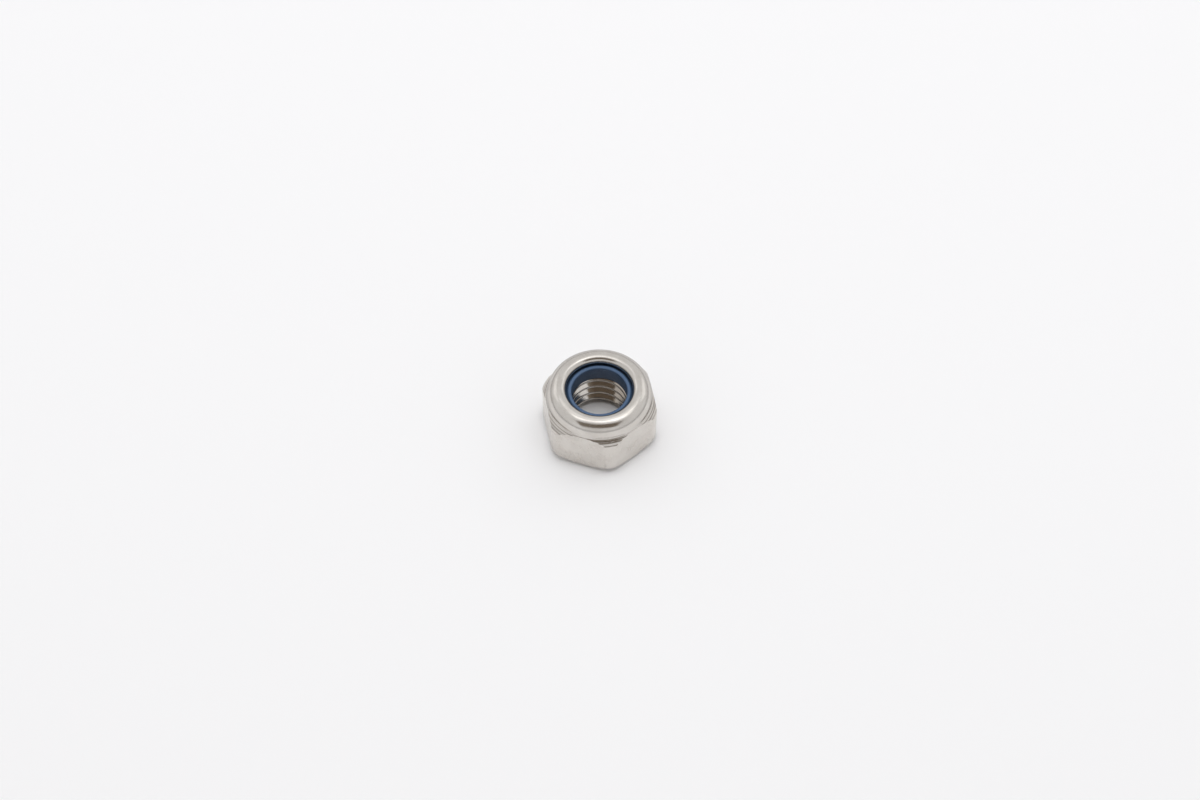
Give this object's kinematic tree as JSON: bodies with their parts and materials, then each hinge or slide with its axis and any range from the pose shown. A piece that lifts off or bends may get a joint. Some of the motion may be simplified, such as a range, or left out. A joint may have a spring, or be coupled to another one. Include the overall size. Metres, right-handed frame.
{
  "type": "nylon insert lock nut",
  "caption": "Hexagon lock nut with a round collar, a rim rolled over a blue nylon ring, and a coarse metric thread.",
  "frame": {"origin": "centre of the bearing face, on the thread's axis", "axes": "+Z along the thread's axis, from the bearing face up to the rolled collar; two corners of the hexagon lie on Y, and two flats face along X"},
  "size_m": [0.013, 0.0144, 0.008],
  "materials": {
    "steel": "satin",
    "nylon": "satin"
  },
  "bodies": {
    "root": {"nut_body": "steel", "nylon_ring": "nylon"}
  },
  "joints": []
}
